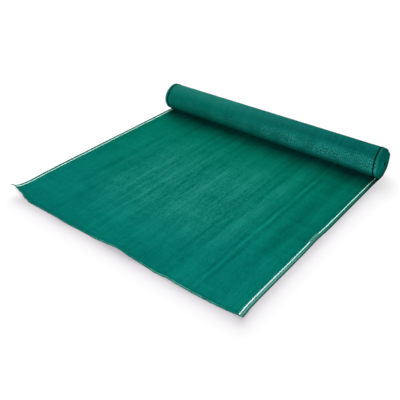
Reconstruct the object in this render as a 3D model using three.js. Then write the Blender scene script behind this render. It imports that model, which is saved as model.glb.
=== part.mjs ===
// A length of knitted privacy screen: most of it is wound into a roll, and the free end lies flat in
// front of the roll. The cloth is one piece. It runs from its cut end along the floor, under the roll,
// up the roll's back and over its top, and on inwards turn by turn.
// A white thread is sewn along each selvedge. It shows on the laid cloth, up to the roll.
// Units are millimetres. X runs across the cloth along the roll's axis, +Y points from the cut end to
// the roll, and +Z is up. The origin is the centre of the footprint, on the floor.

import * as THREE from "three";

// Driving dimensions
const CLOTH_WIDTH = 1000;
const LAID_LENGTH = 914; // from the furthest point of the cut end to below the roll's axis
const ROLL_RADIUS = 56.7; // outermost turn, where it leaves the floor
const CLOTH_THICKNESS = 1.1; // also how much the roll's radius loses in one turn
const EYE = { radius: 6.5, behindAxis: 2, belowAxis: 1 }; // the hole left inside the winding
const TURNS_SLID = 4.8; // how far the innermost turns have slid towards the right end
const FLAT_SPOT = 15; // width of the strip on which the roll stands
const NIP_GAP = 0.5; // the wedge between roll and laid cloth is closed where it gets this thin

// The white thread of each selvedge
const THREAD_INSET = 13; // from the selvedge to the thread's centre
const THREAD_WIDTH = 3;
const THREAD_HEIGHT = 1;
const THREAD_GAP = 0.3; // between thread and cloth
const THREAD_FROM_CUT = 5;
const THREAD_TO_ROLL = 18; // it ends this far before the roll's axis, where the roll comes down on it

// How finely each surface is divided
const FIELD_COLUMNS = 30;
const FIELD_HALF_WIDTH = 450;
const SELVEDGE_COLUMNS = [470, 484, 490, 500];
const LAID_ROWS = 24;
const ROLL_STEPS = 38;
const END_RINGS = 10;

// The cut end isn't straight: at each place across the cloth it stands back this far from the line
// through its furthest point.
const CUT_LINE = [
  { across: -500, back: 36 },
  { across: -476, back: 29.5 },
  { across: -452, back: 24 },
  { across: -403, back: 10.5 },
  { across: -377, back: 4.5 },
  { across: -327, back: 5 },
  { across: -255, back: 4 },
  { across: -192, back: 1 },
  { across: -109, back: 4 },
  { across: 0, back: 3.5 },
  { across: 43, back: 6 },
  { across: 99, back: 3 },
  { across: 152, back: 3.5 },
  { across: 202, back: 0 },
  { across: 245, back: 2 },
  { across: 292, back: 0 },
  { across: 336, back: 0 },
  { across: 397, back: 1.7 },
  { across: 435, back: 4 },
  { across: 500, back: 8 },
];

// How far each selvedge stands outside its nominal line, along the laid cloth
const LAID_SELVEDGES = {
  right: [
    { along: 0, out: 5 },
    { along: 16, out: 4.8 },
    { along: 60, out: 0.9 },
    { along: 100, out: -0.2 },
    { along: 320, out: -0.2 },
    { along: 425, out: -1.5 },
    { along: 525, out: 1.2 },
    { along: 830, out: 1.8 },
    { along: 914, out: 3.6 },
  ],
  left: [
    { along: 37, out: 1.4 },
    { along: 46, out: -3.5 },
    { along: 56, out: -6.5 },
    { along: 85, out: -6.5 },
    { along: 125, out: -4.5 },
    { along: 165, out: -2 },
    { along: 300, out: -1.2 },
    { along: 820, out: -0.8 },
    { along: 914, out: 0 },
  ],
};

// The same for the outermost turn of the roll, by its angle in degrees: 0 is at the bottom, 90 at the
// back, 180 on top and 270 at the front.
const WOUND_SELVEDGES = {
  right: [
    { angle: 0, out: 3.6 },
    { angle: 45, out: 2.5 },
    { angle: 90, out: 0.5 },
    { angle: 105, out: 0.5 },
    { angle: 125, out: -6 },
    { angle: 150, out: -10.5 },
    { angle: 175, out: -11 },
    { angle: 220, out: -7 },
    { angle: 270, out: -3 },
    { angle: 340, out: 0 },
  ],
  left: [
    { angle: 0, out: 0 },
    { angle: 100, out: 0 },
    { angle: 180, out: -2 },
    { angle: 270, out: 1.5 },
    { angle: 330, out: -1.5 },
  ],
};
const SELVEDGE_EFFECT = 100; // the cloth follows its selvedge's bends within this width

// Places where the laid cloth stands off the floor. Each is a rounded hump.
const HUMPS = [
  { name: "wave in the cut end", across: 45, along: 0, halfWidth: 115, halfLength: 160, rise: 8 },
  { name: "small wave", across: -215, along: 0, halfWidth: 90, halfLength: 110, rise: 2.5 },
  { name: "small wave", across: 285, along: 0, halfWidth: 90, halfLength: 120, rise: 2 },
  { name: "front right corner", across: 500, along: 0, halfWidth: 75, halfLength: 90, rise: 3 },
  { name: "cross crease", across: 440, along: 425, halfWidth: 130, halfLength: 42, rise: 2.8 },
  { name: "cross crease", across: 400, along: 765, halfWidth: 100, halfLength: 48, rise: 1.8 },
  { name: "long ridge", across: -90, along: 430, halfWidth: 40, halfLength: 330, rise: 1.5 },
  { name: "long ridge", across: 150, along: 470, halfWidth: 40, halfLength: 330, rise: 1.5 },
  { name: "long ridge", across: 270, along: 480, halfWidth: 45, halfLength: 330, rise: 1.8 },
];

// The front left corner curls up.
const CURL = { fromAcross: -370, toAcross: -500, length: 130, rise: 8 };

// The turns have wandered sideways in the winding, so each end face has a low spiral ridge.
const SPIRAL_TURNS = 2.6;
const SPIRAL_DEPTH = 1.6;
const RIM_EFFECT = 0.35; // the end face follows the outermost selvedge within this share of its radius

const COLOURS = { cloth: 0x0b7565, thread: 0xd9efec };

// Eases from 0 at a to 1 at b.
function ease(a, b, value) {
  const t = Math.min(Math.max((value - a) / (b - a), 0), 1);
  return t * t * (3 - 2 * t);
}

// 1 in the middle, 0 from one half-width away.
function rounded(distance) {
  return Math.max(1 - distance * distance, 0) ** 2;
}

// Eases from row to row of a table: key is the column to look in, column the one to read.
function lookUp(table, key, column, value) {
  const next = table.findIndex((row) => row[key] >= value);
  if (next === 0) return table[0][column];
  if (next < 0) return table[table.length - 1][column];
  const [a, b] = [table[next - 1], table[next]];
  return a[column] + (b[column] - a[column]) * ease(a[key], b[key], value);
}

// How high the laid cloth's underside stands off the floor
function liftAt(across, along) {
  let lift = 0;
  for (const hump of HUMPS) {
    const sideways = rounded((across - hump.across) / hump.halfWidth);
    lift += hump.rise * sideways * rounded((along - hump.along) / hump.halfLength);
  }
  const intoCorner = ease(CURL.fromAcross, CURL.toAcross, across);
  return lift + CURL.rise * intoCorner * ease(CURL.length, 0, along) ** 1.5;
}

// The roll's section. Turn angle 0 is straight down, and it grows towards the back and over the top.
const AXIS_Y = LAID_LENGTH;
const FLAT_ANGLE = Math.asin(FLAT_SPOT / 2 / ROLL_RADIUS);
const AXIS_Z = ROLL_RADIUS * Math.cos(FLAT_ANGLE);

function turnRadius(angle) {
  return ROLL_RADIUS - (CLOTH_THICKNESS * (angle - FLAT_ANGLE)) / (2 * Math.PI);
}

function turnPoint(angle, radius) {
  return { y: AXIS_Y + radius * Math.sin(angle), z: AXIS_Z - radius * Math.cos(angle) };
}

// The angle at which the turn has come down to the nip
const SECOND_TURN_RADIUS = ROLL_RADIUS - CLOTH_THICKNESS;
const NIP_ANGLE = 2 * Math.PI - Math.acos((AXIS_Z - CLOTH_THICKNESS - NIP_GAP) / SECOND_TURN_RADIUS);
const NIP_Y = turnPoint(NIP_ANGLE, turnRadius(NIP_ANGLE)).y;

// The outermost turn's angles at which the mesh has points
const ROLL_ANGLES = [];
for (let step = 0; step <= ROLL_STEPS; step++) {
  ROLL_ANGLES.push(FLAT_ANGLE + ((NIP_ANGLE - FLAT_ANGLE) * step) / ROLL_STEPS);
}

// Where each column of the mesh stands
function columnPlaces() {
  const places = SELVEDGE_COLUMNS.map((place) => -place).reverse();
  for (let i = 0; i <= FIELD_COLUMNS; i++) {
    places.push(FIELD_HALF_WIDTH * ((2 * i) / FIELD_COLUMNS - 1));
  }
  return places.concat(SELVEDGE_COLUMNS);
}

// Where a place across the cloth comes to stand, when its selvedge is this far out
function pushedOut(across, out) {
  const share = Math.max(Math.abs(across) - CLOTH_WIDTH / 2 + SELVEDGE_EFFECT, 0) / SELVEDGE_EFFECT;
  return across + Math.sign(across) * out * share;
}

// How far the selvedge on this side is out, at an angle of the outermost turn
function woundOut(side, angle) {
  const table = side > 0 ? WOUND_SELVEDGES.right : WOUND_SELVEDGES.left;
  return lookUp(table, "angle", "out", THREE.MathUtils.radToDeg(angle));
}

// A point on the laid cloth's underside: row 0 is at the cut end and LAID_ROWS is at the nip.
function laidPoint(across, row) {
  const cut = lookUp(CUT_LINE, "across", "back", across);
  const along = cut + (NIP_Y - cut) * (row / LAID_ROWS);
  const table = across > 0 ? LAID_SELVEDGES.right : LAID_SELVEDGES.left;
  const x = pushedOut(across, lookUp(table, "along", "out", along));
  return new THREE.Vector3(x, along, liftAt(across, along));
}

// Collects points and faces of one closed surface.
class Surface {
  constructor() {
    this.points = [];
    this.faces = [];
  }
  point(x, y, z) {
    this.points.push(x, y, z);
    return this.points.length / 3 - 1;
  }
  triangle(a, b, c) {
    this.faces.push(a, b, c);
  }
  quad(a, b, c, d) {
    this.triangle(a, b, c);
    this.triangle(a, c, d);
  }
  // Faces between two rows of points that run the same way; a closed row also joins its ends.
  band(from, to, closed) {
    const count = closed ? from.length : from.length - 1;
    for (let i = 0; i < count; i++) {
      const next = (i + 1) % from.length;
      this.quad(from[i], from[next], to[next], to[i]);
    }
  }
  mesh(name, colour, roughness) {
    const geometry = new THREE.BufferGeometry();
    geometry.setAttribute("position", new THREE.Float32BufferAttribute(this.points, 3));
    geometry.setIndex(this.faces);
    geometry.computeVertexNormals();
    const material = new THREE.MeshStandardMaterial({ color: colour, roughness, metalness: 0 });
    const made = new THREE.Mesh(geometry, material);
    made.name = name;
    return made;
  }
}

// One column of the cloth: its outline in the Y-Z plane, from the cut end along the underside, round
// the roll, and back along the upper side.
function addColumn(surface, across) {
  const under = [];
  const upper = [];
  for (let row = 0; row <= LAID_ROWS; row++) {
    const p = laidPoint(across, row);
    under.push(surface.point(p.x, p.y, p.z));
    upper.push(surface.point(p.x, p.y, p.z + CLOTH_THICKNESS));
  }
  const round = ROLL_ANGLES.map((angle) => {
    const p = turnPoint(angle, turnRadius(angle));
    return surface.point(pushedOut(across, woundOut(across, angle)), p.y, p.z);
  });
  return { under, round, upper, outline: [...under, ...round, ...upper.slice().reverse()] };
}

// How far an end face is set in, on the way from its rim (share 0) to the eye (share 1). The ridge
// winds inwards as the turns do.
function setIn(angle, share) {
  const turns = share * SPIRAL_TURNS - angle / (2 * Math.PI);
  return SPIRAL_DEPTH * ease(0, 0.15, share) * (0.5 - 0.5 * Math.cos(2 * Math.PI * turns));
}

// A ring of points on an end face, from the outermost turn (share 0) to the eye (share 1)
function addRing(surface, side, angles, share) {
  const out = (angle) => woundOut(side, angle) * ease(RIM_EFFECT, 0, share);
  const slid = TURNS_SLID * ease(0, 1, share);
  return angles.map((angle, i) => {
    const outer = turnPoint(angle, turnRadius(i === 0 ? NIP_ANGLE : angle));
    const inner = turnPoint(angle, EYE.radius);
    const y = outer.y + (inner.y + EYE.behindAxis - outer.y) * share;
    const z = outer.z + (inner.z - EYE.belowAxis - outer.z) * share;
    const x = side * (CLOTH_WIDTH / 2 + out(angle) - setIn(angle, share)) + slid;
    return surface.point(x, y, z);
  });
}

// One end face of the roll, and the selvedge of the laid cloth beside it. It returns the eye's rim.
function addEnd(surface, column, side) {
  const faces = new Surface();
  const under = column.under[LAID_ROWS];
  const upper = column.upper[LAID_ROWS];
  const rim = [under, ...column.round.slice(0, -1)];
  const rimEnd = column.round[ROLL_STEPS]; // straight above the nip
  const angles = [NIP_ANGLE - 2 * Math.PI, ...ROLL_ANGLES.slice(0, -1)];
  let outer = addRing(surface, side, angles, 1 / END_RINGS);
  faces.band(rim, outer, false);
  faces.quad(rim[rim.length - 1], rimEnd, outer[0], outer[outer.length - 1]);
  faces.triangle(rimEnd, upper, outer[0]);
  faces.triangle(upper, under, outer[0]);
  for (let ring = 2; ring <= END_RINGS; ring++) {
    const inner = addRing(surface, side, angles, ring / END_RINGS);
    faces.band(outer, inner, true);
    outer = inner;
  }
  faces.band(column.under, column.upper, false);
  for (let i = 0; i < faces.faces.length; i += 3) {
    const [a, b, c] = faces.faces.slice(i, i + 3);
    if (side > 0) surface.triangle(a, b, c);
    else surface.triangle(a, c, b);
  }
  return outer;
}

function makeCloth() {
  const surface = new Surface();
  const columns = columnPlaces().map((across) => addColumn(surface, across));
  for (let i = 0; i + 1 < columns.length; i++) {
    surface.band(columns[i].outline, columns[i + 1].outline, true);
  }
  const leftEye = addEnd(surface, columns[0], -1);
  const rightEye = addEnd(surface, columns[columns.length - 1], 1);
  surface.band(rightEye, leftEye, true);
  return surface.mesh("screen_cloth", COLOURS.cloth, 0.55);
}

// The thread's cross-section, from its centre at cloth level
const THREAD_OUTLINE = [
  { sideways: -0.5, up: 0.5 },
  { sideways: -0.3, up: 0 },
  { sideways: 0.3, up: 0 },
  { sideways: 0.5, up: 0.5 },
  { sideways: 0.3, up: 1 },
  { sideways: -0.3, up: 1 },
];

// A point of the cloth's upper side on a row of its mesh, between the columns beside it
function upperBetween(across, row) {
  const [inner, outer] = SELVEDGE_COLUMNS.slice(1, 3).map((place) => Math.sign(across) * place);
  const share = (across - inner) / (outer - inner);
  const p = laidPoint(inner, row).lerp(laidPoint(outer, row), share);
  p.z += CLOTH_THICKNESS;
  return p;
}

function makeThread(name, side) {
  const across = side * (CLOTH_WIDTH / 2 - THREAD_INSET);
  const cut = upperBetween(across, 0).y;
  const rowLength = (NIP_Y - cut) / LAID_ROWS;
  const lastRow = (AXIS_Y - THREAD_TO_ROLL - cut) / rowLength;
  const rows = [THREAD_FROM_CUT / rowLength];
  for (let row = 1; row < lastRow; row++) rows.push(row);
  rows.push(lastRow);

  const surface = new Surface();
  const sections = rows.map((row) => {
    const whole = Math.floor(row);
    const a = upperBetween(across, whole);
    const p = a.lerp(upperBetween(across, Math.min(whole + 1, LAID_ROWS)), row - whole);
    return THREAD_OUTLINE.map(({ sideways, up }) =>
      surface.point(
        p.x + sideways * THREAD_WIDTH,
        p.y,
        p.z + THREAD_GAP + up * THREAD_HEIGHT,
      ),
    );
  });
  for (let i = 0; i + 1 < sections.length; i++) surface.band(sections[i + 1], sections[i], true);
  const ends = [sections[0], sections[sections.length - 1]];
  for (let i = 1; i + 1 < THREAD_OUTLINE.length; i++) {
    surface.triangle(ends[0][0], ends[0][i], ends[0][i + 1]);
    surface.triangle(ends[1][0], ends[1][i + 1], ends[1][i]);
  }
  return surface.mesh(name, COLOURS.thread, 0.5);
}

const screen = new THREE.Group();
screen.add(makeCloth());
screen.add(makeThread("selvedge_thread_left", -1));
screen.add(makeThread("selvedge_thread_right", 1));

// The origin is the centre of the footprint.
const box = new THREE.Box3().setFromObject(screen);
screen.position.set(-(box.min.x + box.max.x) / 2, -(box.min.y + box.max.y) / 2, -box.min.z);

export default screen;
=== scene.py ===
# The looks of a partly unrolled length of knitted privacy screen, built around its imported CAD
# model. Lengths are millimetres until a mesh is made, and metres in the materials and the studio.
# "Across" runs along the roll's axis, and "along" runs from the cloth's cut end to the roll.

import math

import bpy
import numpy as np
from mathutils import Matrix, Vector


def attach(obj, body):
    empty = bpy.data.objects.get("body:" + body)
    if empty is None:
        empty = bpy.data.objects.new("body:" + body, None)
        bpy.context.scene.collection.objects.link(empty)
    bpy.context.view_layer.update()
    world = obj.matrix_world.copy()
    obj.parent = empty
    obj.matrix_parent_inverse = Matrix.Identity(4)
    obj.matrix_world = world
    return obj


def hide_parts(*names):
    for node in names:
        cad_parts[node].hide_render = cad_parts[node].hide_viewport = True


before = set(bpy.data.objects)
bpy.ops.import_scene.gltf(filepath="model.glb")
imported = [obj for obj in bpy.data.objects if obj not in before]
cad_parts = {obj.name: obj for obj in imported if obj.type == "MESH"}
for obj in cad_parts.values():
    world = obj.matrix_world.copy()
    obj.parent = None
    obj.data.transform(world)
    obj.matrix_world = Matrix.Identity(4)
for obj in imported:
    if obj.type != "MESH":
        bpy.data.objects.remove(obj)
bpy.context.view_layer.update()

MM = 0.001
BODY = "root"
GREEN_SLOT = "green_cloth"
WHITE_SLOT = "white_thread"

# The CAD part's own dimensions and tables
ORIGIN = (1.702, 485.217)  # where the footprint's centre lies, across and along
HALF_WIDTH = 500.0
LAID_LENGTH = 914.0
ROLL_RADIUS = 56.7
PITCH = 1.1
FLAT_SPOT = 15.0
EYE_RADIUS = 6.5
EYE_BACK = 2.0
EYE_DOWN = 1.0
DOME = 4.8  # the turns have slid towards the right end, inner ones further
RIM_EFFECT = 0.35  # the turns follow the outermost selvedge within this share of them
THREAD_INSET = 13.0
SELVEDGE_EFFECT = 100.0

FLAT_ANGLE = math.asin(FLAT_SPOT / 2 / ROLL_RADIUS)
AXIS_Z = ROLL_RADIUS * math.cos(FLAT_ANGLE)
ALL_TURNS = (ROLL_RADIUS - EYE_RADIUS) / PITCH
FLOOR_END = LAID_LENGTH + FLAT_SPOT / 2  # the cloth leaves the floor here

# How far the cut end stands back, across the cloth
CUT_LINE = np.array([
    (-500, 36), (-476, 29.5), (-452, 24), (-403, 10.5), (-377, 4.5), (-327, 5), (-255, 4),
    (-192, 1), (-109, 4), (0, 3.5), (43, 6), (99, 3), (152, 3.5), (202, 0), (245, 2), (292, 0),
    (336, 0), (397, 1.7), (435, 4), (500, 8),
])

# How far out each selvedge stands, along the laid cloth and by the outermost turn's angle
LAID_OUT = {
    1: np.array([
        (0, 5), (16, 4.8), (60, 0.9), (100, -0.2), (320, -0.2), (425, -1.5), (525, 1.2), (830, 1.8),
        (914, 3.6),
    ]),
    -1: np.array([
        (37, 1.4), (46, -3.5), (56, -6.5), (85, -6.5), (125, -4.5), (165, -2), (300, -1.2),
        (820, -0.8), (914, 0),
    ]),
}
WOUND_OUT = {
    1: np.array([
        (0, 3.6), (45, 2.5), (90, 0.5), (105, 0.5), (125, -6), (150, -10.5), (175, -11), (220, -7),
        (270, -3), (340, 0),
    ]),
    -1: np.array([(0, 0), (100, 0), (180, -2), (270, 1.5), (330, -1.5)]),
}

# Humps of the laid cloth: across, along, half width, half length, rise
HUMPS = (
    (45, 0, 115, 160, 8), (-215, 0, 90, 110, 2.5), (285, 0, 90, 120, 2), (500, 0, 75, 90, 3),
    (440, 425, 130, 42, 2.8), (400, 765, 100, 48, 1.8), (-90, 430, 40, 330, 1.5),
    (150, 470, 40, 330, 1.5), (270, 480, 45, 330, 1.8),
)
CURL_FROM, CURL_TO, CURL_LENGTH, CURL_RISE = -370, -500, 130, 8

# The mesh of the outer and of the inner piece
OVERLAP_ANGLE = math.radians(370)  # the outer piece ends here, under the second turn
OVERLAP_GAP = math.radians(0.5)
FIELD_STEPS = 134
FIELD_EDGE = 470.0
SELVEDGE_STEPS = (
    473, 476, 479, 481, 482.6, 483.8, 484.8, 485.6, 486.4, 487.2, 488, 489, 490.2, 491.4, 492.8,
    494.4, 496, 497.4, 498.6, 499.5, 500,
)
LAID_ROWS = 152
TURN_ROWS = 64
INNER_ROWS_A_TURN = 40
INNER_COLUMNS = (-500, -497.5, -470, 470, 497.5, 500)
INNER_EFFECT = 50.0  # an inner turn follows its own selvedge within this width
BACK_OFFSET = 500.0  # keeps the inner turns clear of the values that mean a cut end

# The cloth's thickness
LAID_THICKNESS = 1.0
WOUND_THICKNESS = 0.78
WOUND_FROM = 860.0  # the cloth thins from here to where it leaves the floor
LAYER_STEP = 0.85  # height that each flattened layer takes under the roll
LAYER_GAP = 0.1
BEAD_PLACE, BEAD_WIDTH, BEAD_RISE = 499.0, 1.2, 0.3  # a bead along each selvedge
BEAD_FADE = (900.0, 860.0)
GROOVE_PLACE, GROOVE_WIDTH, GROOVE_DEPTH = 486.5, 1.7, 0.45  # and its stitch line

# The small unevenness of the cloth. A ripple is a seed, a height and its lengths in x and y.
LAID_RIPPLES = ((3, 0.3, (55, 160)), (4, 0.2, (23, 70)))
CUT_RIPPLE = (8, 0.5, (11, 11))
WOUND_RIPPLE = (6, 0.35, (70, 45))
RIPPLE_WAVES = 14
RIPPLE_RANGE = (0.6, 1.5)  # how often a wave comes in that length
RIPPLE_SPREAD = 1.6  # divides their sum, so that it stays near -1 to 1
STREAK_RISE = 1.5  # how high a streak of strength 1 would stand
SETTLE = 0.45  # the waves are raised by this, and lie flat where they are still below the floor
SETTLED_FROM = 840.0  # from here to the roll the laid cloth lies flatter
PUCKER_PLACE, PUCKER_WIDTH, PUCKER_RISE, PUCKER_LENGTH = 489.0, 9.0, 0.35, 20.0
PUCKER_RIPPLE = (5, 2, (300, 90))  # how the puckers' phase changes
SLACK_LIMIT = 0.4
SLACK_START = 30.0  # the outermost turn is uneven from this length on
SLACK_FADE = (350, 325)  # and until these angles

# The selvedges of the inner turns stand in by a wander that changes from turn to turn.
WANDER_MEAN = 1.0
WANDER_WAVES = ((0.8, 2.1, 0), (0.6, 5.3, 1))  # height, radians a turn, phase
WANDER_DENTS = ((9.5, 3.0), (17, 2.0), (27, 2.5), (36, 3.0))  # turn, depth
WANDER_DENT_WIDTH = 0.9
LEFT_SHIFT = 2.0  # the left end has the wander of as many turns further in
WANDER_START = (1.0, 1.6)  # the turns over which it sets in
RIM_START = (0, 40)  # degrees over which a turn begins to follow the outermost selvedge
DOME_START = 0.02  # the share of the turns, from the outside, that haven't slid

# Stitches and loose yarns
YARN_STEP = 7300.0  # sets the yarns of a piece apart in their material's noise
CHAIN_PITCH = 16.0
CHAIN_HALF_SPREAD = 1.15
CHAIN_RADIUS = 1.05
CHAIN_FLATNESS = 0.7
CHAIN_THICKNESS = (0.85, 0.45)  # of the radius: in a link's middle, and more at a knot
CHAIN_LIFT = (0.6, 0.3)  # how high it lies: a share of the radius, and more at a knot
CHAIN_REACH = (-0.04, 1.04)  # a link ends a little past its knots
CHAIN_START = 4.0
CHAIN_END = 899.0
CHAIN_POINTS = 12
CHAIN_HIDDEN = (398, 410, 452, 468)  # the right chain goes out of sight and back between these
HIDDEN_DEPTH = 1.1
HIDDEN_THINNER = 0.75
BACKSTITCH_PITCH = 7.5
BACKSTITCH_POINTS = 7
BACKSTITCH_ANGLES = (math.radians(20), math.radians(346))
BACKSTITCH_RADIUS = (0.8, 0.35)  # at its ends, and how much more in its middle
BACKSTITCH_RISE = (0.05, 0.45)
BACKSTITCH_SPREAD = (1.2, 0.2, 9)  # half the distance of its two rows, and how that changes
BACKSTITCH_REACH = (0.03, 0.97)  # the part of its length that a stitch fills
BACKSTITCH_STAGGER = 0.25  # how far the two rows are out of step
BACKSTITCH_INSET = 0.4  # how far they lie inside the white thread's line
STUB_SEED = 21
STUB_EDGE = 497.0
STUB_PITCH = 2.75
STUB_POINTS = 5
STUB_JITTER = 0.7
STUB_LENGTH = (1.5, 4.5)
STUB_LONGER = (1, 1, 1, 1.7)  # one in four is longer
STUB_LEAN = 0.3
STUB_STIFFNESS = 0.4  # the share of its lean that it has at its root
STUB_RISE = (-0.25, 0.45)
STUB_ROOT = 0.8  # how far a cut end reaches into the cloth
STUB_RADIUS = (0.42, 0.22)  # at its root and at its tip
STUB_LOWEST = 0.5
TAIL_OUT, TAIL_FORWARD, TAIL_RISE = 15.0, 4.0, 1.0
TAIL_POINTS = 16
TAIL_RADIUS = (1.9, 0.9)
TAIL_CORNER = -499.0
TAIL_ROOT = (2.0, 1.5, 0.3)  # how far it starts inside the cloth's corner
TAIL_BEND = (1.4, 2.2)  # radians that it bends forwards and up

# Streaks along the cloth: place across, half width, and how much lighter or darker they are
STREAKS = (
    (-462, 25, -0.10), (-343, 18, -0.13), (-322, 14, 0.07), (-278, 17, -0.10), (-235, 14, 0.03),
    (-192, 17, 0.12), (-165, 11, -0.07), (-151, 12, 0.11), (-112, 15, 0.18), (-92, 8, -0.03),
    (-76, 11, 0.20), (-60, 18, 0.11), (-42, 13, -0.10), (-4, 11, -0.07), (10, 9, 0.05),
    (35, 16, 0.13), (60, 16, 0.03), (82, 14, -0.03), (98, 9, 0.06), (112, 12, 0.05),
    (140, 18, 0.12), (154, 8, 0.13), (172, 9, -0.05), (196, 12, -0.15), (230, 16, -0.13),
    (248, 14, 0.10), (268, 22, 0.17), (313, 9, -0.20), (327, 6, 0.28), (341, 9, -0.22),
    (358, 12, 0.04), (402, 40, -0.16), (435, 16, 0.08), (476, 12, -0.10),
)

# The colours of the cloth and its yarns
DARK_GREEN = (0.0006, 0.098, 0.080, 1)
LIGHT_GREEN = (0.0022, 0.215, 0.172, 1)
# the pale colour of the painted sheen
SHEEN_GREEN = (0.075, 0.33, 0.29, 1)
# the colour of the painted glints at the roll's front
GLINT_GREEN = (0.065, 0.46, 0.42, 1)
SELVEDGE_PALE = (0.16, 0.42, 0.37, 1)
# the colour of the cut end's painted highlight line
CUT_HIGHLIGHT_GREEN = (0.06, 0.34, 0.26, 1)
YELLOWER = (0.5, 1.0, 0.83, 1)  # what the green is multiplied by towards the roll
BLUER = (1.0, 1.0, 1.15, 1)  # and what by on the right half of the roll
CLOTH_ROUGHNESS = 0.6
GLINT_SHINE = 0.25  # how much smoother a painted glint is
SPECULAR = 0.0

# The yarns: colour at the cut end and towards the roll, how uneven it is, and the twist's depth
YARNS = {
    "white_yarn": ((0.76, 1.0, 0.98), (0.55, 0.98, 0.88), 0.4, 0.00008),
    "worn_white_yarn": ((0.60, 1.0, 0.90), (0.60, 1.0, 0.90), 0.7, 0.00008),
    "dark_stitching": ((0.001, 0.022, 0.022), (0.001, 0.022, 0.022), 0.5, 0.0001),
    "cut_yarn": ((0.02, 0.24, 0.19), (0.02, 0.24, 0.19), 0.9, 0.0001),
}
YARN_ROUGHNESS = 0.6
YARN_SPOTS = (160, 160, 3)
FAR_FROM = 0.4  # a yarn has its second colour from this length on, in metres
TWIST_ALONG, TWIST_ACROSS = 900.0, 500.0  # turns in a metre
TWIST_SHARE = 0.12

# The knit, in metres
WALE = 0.00275  # spacing of its ribs
COURSE = 0.0032  # spacing of its loops along a rib
LOOP_LEAN = 1.3
LOOP_SHARE, TAPE_SHARE = 0.45, 0.5  # of the relief
RIB_WOBBLE = 0.0012
KNIT_DEPTH = 0.00035
KNIT_MEAN = 0.45  # of its relief, which goes from 0 to 1

# Noises of the cloth: how fine they are across and along, their detail, and their offset
NOISES = {
    "ribs": (90, 60, 2, 0.0), "wander": (6, 5, 2, 0.0), "breaks": (22, 8, 3, 11.0),
    "speckle": (700, 160, 2, 21.0), "cut line": (38, 90, 3, 91.0), "front": (16, 24, 3, 41.0),
    "fine": (180, 11, 3, 3.0), "mottle": (150, 75, 3, 7.0), "grain": (420, 300, 2, 9.0),
    "patches": (12, 4, 3, 5.0), "courses": (5, 34, 2, 15.0), "ticks": (120, 150, 2, 51.0),
    "turns": (20, 3.1, 3, 61.0), "turn flecks": (20, 55, 2, 67.0), "clouds": (60, 12, 3, 71.0),
    "flecks": (210, 190, 2, 31.0), "glinting": (13, 26, 2, 83.0),
}
NOISE_ROUGHNESS = 0.55

# The cloth's shade goes from 0, dark, to 1, light. Each part of it has a share.
SHADE_MEAN = 0.44
NOISE_SHARES = (("mottle", 0.52), ("grain", 0.6), ("patches", 0.38), ("courses", 0.28))
FINE_SHARE = 0.38
FINE_MORE = 1.0  # how much stronger the fine noise is in the middle part
STREAK_SHARE = 1.3
TICK_SHARE = 0.24
# how much lighter the middle part is painted, as sheen
MIDDLE_SHEEN_SHARE = 0.02
RIGHT_SHARE = -0.14
CUT_SHARE = -0.1
# painted shade in the knit's hollows, from its relief
KNIT_SHADE_SHARE = 0.25
STREAK_WANDER = 0.012

# A reach is four places: where something starts, is full, begins to end and has ended. A change
# is a value's two ends and what it gives at each, 0 and 1 if that isn't said. A length from the
# cut end above 0.92 is on the roll: 1.10 is on its top, and 1.17 at its front.

# The shade: its streaks, its rougher middle part, which is also lighter with painted sheen, and the
# darker parts at the right and at the cut
STREAK_BREAKS = (0.3, 0.62, 0.25, 1.2)
STREAKS_LAID = (0.02, 0.3, 0.5, 1.0)
STREAKS_WOUND = (0.95, 1.08, 1.0, 0.4)
MIDDLE_ACROSS = (-0.42, -0.15, 0.15, 0.38)
MIDDLE_ALONG = (0.08, 0.32, 0.50, 0.80)
TICKS = (0.5, 0.66)
RIGHT_ACROSS, RIGHT_ALONG = (0.30, 0.40), (0.15, 0.5)
CUT_ACROSS, CUT_ALONG = (0.30, 0.15), (0.14, 0.02)

# The selvedge, its stitch line, and the stretch where the thread is hidden
SELVEDGE_ALONG = (0.62, 0.15, 0.12, 0.85)
SELVEDGE_SIDES = (-0.1, 0.1, 0.1, 1.0)
SELVEDGE_SPECKS = (0.35, 0.6, 0.35, 1.0)
CORNER_ACROSS, CORNER_ALONG = (-0.4795, -0.4825), (0.056, 0.050)  # the pale left corner
CORNER_SHARE = 0.6
WOUND = (0.95, 1.05)  # where the selvedge takes on its looks on the roll
SEAM_SHADE_REACH = (0.43, 0.47, 0.64, 0.68)
SEAM_OUTSIDE = (0.64, 0.70)
THREAD_REACH = (0.36, 0.42, 0.64, 0.68)
RIGHT_HALF = (0.0, 0.1)

# The roll's outer side, with painted light: a painted highlight at its front, on its upper left and
# low on its right, and painted shade on its top and low on its left
FRONT_HIGHLIGHT_REACH = (1.127, 1.170, 1.184, 1.212)
FRONT_HIGHLIGHT_RIGHTWARDS = (-0.3, 0.42, 0.30, 1.35)
FRONT_HIGHLIGHT_PATCHES = (0.3, 0.65, 0.55, 1.25)
UPPER_HIGHLIGHT_REACH = (1.06, 1.12, 1.13, 1.19)
UPPER_HIGHLIGHT_LEFTWARDS = (0.25, -0.35, 0.22, 0.45)
TOP_SHADE_REACH = (1.05, 1.075, 1.108, 1.140)
TOP_SHADE_ACROSS = (-0.4, 0.1, -0.27, -0.33)
LOW_LIGHT_SHADE_REACH = (1.19, 1.215, 1.28, 1.29)
LOW_LIGHT_SHADE_ACROSS = (-0.45, 0.45, -0.18, 0.25)

# The inner turns, with painted shade on their back part and inside the roll's eye
INNER_TURNS = (1.285, 1.295)
TURN_TONES = (0.3, 0.7, 0.54, 1.06)
TURN_FLECKS = (0.55, 0.68, 0.0, 0.35)
TURN_REAR_SHADE = (0.505, 0.545, 1.0, 0.6)
EYE_SHADE = (9.84, 9.89, 1.0, 0.16)

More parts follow.
